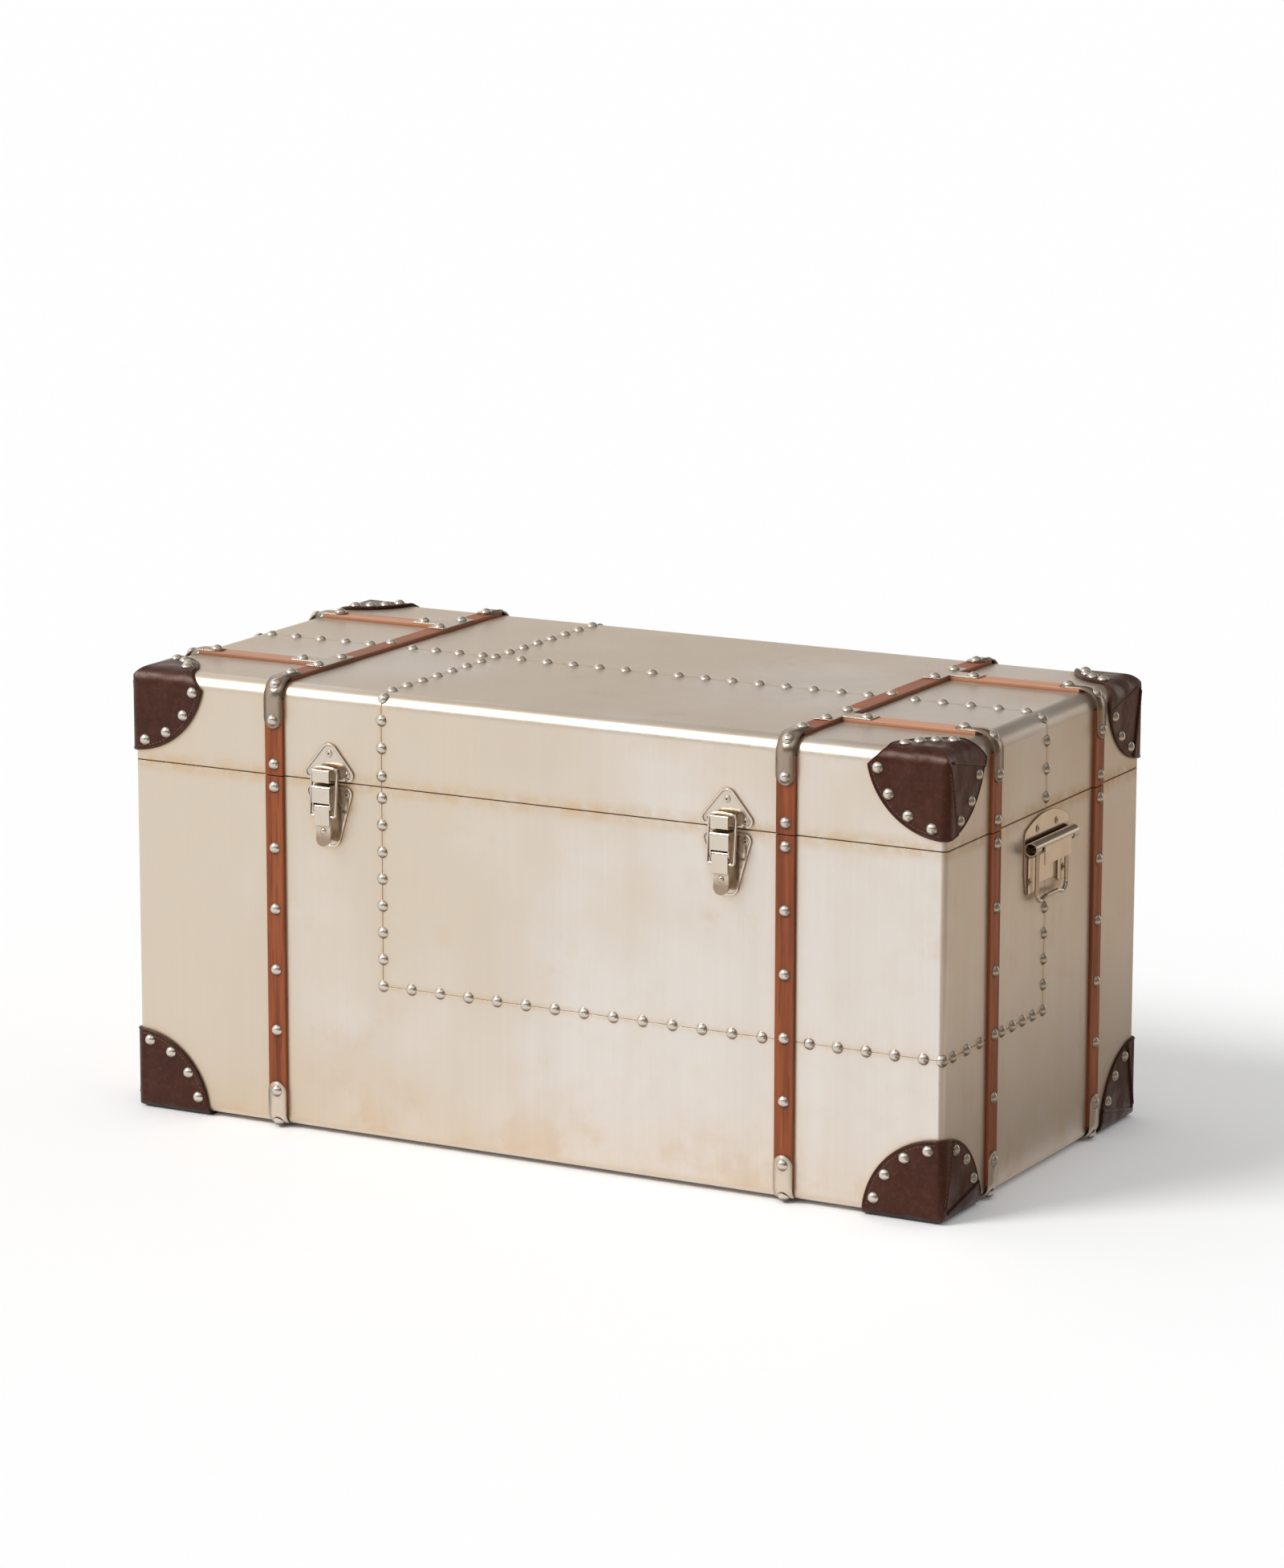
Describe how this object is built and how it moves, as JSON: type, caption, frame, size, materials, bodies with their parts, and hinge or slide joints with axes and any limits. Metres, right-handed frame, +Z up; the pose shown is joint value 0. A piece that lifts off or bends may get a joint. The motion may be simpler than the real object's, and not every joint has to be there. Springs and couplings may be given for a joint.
{
  "type": "trunk",
  "caption": "Metal-covered wooden storage trunk with wooden slats, leather corners, domed nails, draw latches and drop handles.",
  "frame": {"origin": "middle of the footprint, on the floor", "axes": "+X along the length towards the right end, +Y towards the hinged back, +Z up"},
  "size_m": [0.9282, 0.48, 0.4635],
  "materials": {
    "carcass_wood": "bare plywood",
    "sheet_metal": "brushed, slightly worn",
    "lining_cloth": "plain weave",
    "slat_wood": "stained, satin",
    "leather": "waxed, glossy",
    "nail_metal": "satin nickel, aged",
    "clip_metal": "satin nickel, aged",
    "latch_metal": "satin nickel, aged",
    "handle_metal": "satin nickel, aged"
  },
  "bodies": {
    "body": {"body_back_board": "carcass_wood", "body_back_left_corner": "leather", "body_back_right_corner": "leather", "body_bottom_clips": "clip_metal", "body_corner_nails": "nail_metal", "body_end_slats": "slat_wood", "body_face_slats": "slat_wood", "body_floor_board": "carcass_wood", "body_front_board": "carcass_wood", "body_front_left_corner": "leather", "body_front_right_corner": "leather", "body_hardware_rivets": "latch_metal", "body_hinge_leaves": "latch_metal", "body_left_board": "carcass_wood", "body_lining": "lining_cloth", "body_main_sheet": "sheet_metal", "body_patch_sheet": "sheet_metal", "body_right_board": "carcass_wood", "body_seam_nails": "nail_metal", "body_slat_nails": "nail_metal", "hinge_pins": "latch_metal", "left_handle_plate": "handle_metal", "left_latch_base": "latch_metal", "right_handle_plate": "handle_metal", "right_latch_base": "latch_metal", "stay_stud": "latch_metal"},
    "lid": {"latch_keepers": "latch_metal", "lid_back_board": "carcass_wood", "lid_back_left_corner": "leather", "lid_back_left_sheet": "sheet_metal", "lid_back_right_corner": "leather", "lid_back_right_sheet": "sheet_metal", "lid_corner_nails": "nail_metal", "lid_cross_slats": "slat_wood", "lid_edge_clips": "clip_metal", "lid_end_slats": "slat_wood", "lid_face_slats": "slat_wood", "lid_front_board": "carcass_wood", "lid_front_left_corner": "leather", "lid_front_left_sheet": "sheet_metal", "lid_front_right_corner": "leather", "lid_front_right_sheet": "sheet_metal", "lid_hardware_rivets": "latch_metal", "lid_hinge_leaves": "latch_metal", "lid_left_board": "carcass_wood", "lid_lining": "lining_cloth", "lid_right_board": "carcass_wood", "lid_seam_nails": "nail_metal", "lid_short_slats": "slat_wood", "lid_slat_nails": "nail_metal", "lid_tee_clips": "clip_metal", "lid_top_board": "carcass_wood"},
    "stay": {"lid_stay_arm": "latch_metal"},
    "left_lever": {"left_latch_lever": "latch_metal"},
    "left_bail": {"left_latch_bail": "latch_metal"},
    "right_lever": {"right_latch_lever": "latch_metal"},
    "right_bail": {"right_latch_bail": "latch_metal"},
    "left_handle": {"left_handle_bail": "handle_metal"},
    "right_handle": {"right_handle_bail": "handle_metal"}
  },
  "joints": [
    {"name": "lid_hinge", "type": "hinge", "parent": "body", "child": "lid", "pos_m": [0, 0.2318, 0.361], "axis": [-1, 0, 0], "range_deg": [0, 100]},
    {"name": "stay_pivot", "type": "hinge", "parent": "lid", "child": "stay", "pos_m": [0.433, 0.11442, 0.38595], "axis": [-1, 0, 0], "range_deg": [-50, 0]},
    {"name": "left_lever_pin", "type": "hinge", "parent": "body", "child": "left_lever", "pos_m": [-0.22095, -0.2385, 0.3375], "axis": [-1, 0, 0], "range_deg": [0, 95]},
    {"name": "left_bail_pin", "type": "hinge", "parent": "left_lever", "child": "left_bail", "pos_m": [-0.22095, -0.2394, 0.3285], "axis": [-1, 0, 0], "range_deg": [-104.5, 0]},
    {"name": "right_lever_pin", "type": "hinge", "parent": "body", "child": "right_lever", "pos_m": [0.22095, -0.2385, 0.3375], "axis": [-1, 0, 0], "range_deg": [0, 95]},
    {"name": "right_bail_pin", "type": "hinge", "parent": "right_lever", "child": "right_bail", "pos_m": [0.22095, -0.2394, 0.3285], "axis": [-1, 0, 0], "range_deg": [-104.5, 0]},
    {"name": "left_handle_pivot", "type": "hinge", "parent": "body", "child": "left_handle", "pos_m": [-0.4573, 0, 0.3269], "axis": [0, 1, 0], "range_deg": [0, 90]},
    {"name": "right_handle_pivot", "type": "hinge", "parent": "body", "child": "right_handle", "pos_m": [0.4573, 0, 0.3269], "axis": [0, -1, 0], "range_deg": [0, 90]}
  ],
  "couplings": [
    {"joint": "stay_pivot", "follows": "lid_hinge", "ratio": -0.5},
    {"joint": "left_bail_pin", "follows": "left_lever_pin", "ratio": -1.1},
    {"joint": "right_bail_pin", "follows": "right_lever_pin", "ratio": -1.1}
  ]
}
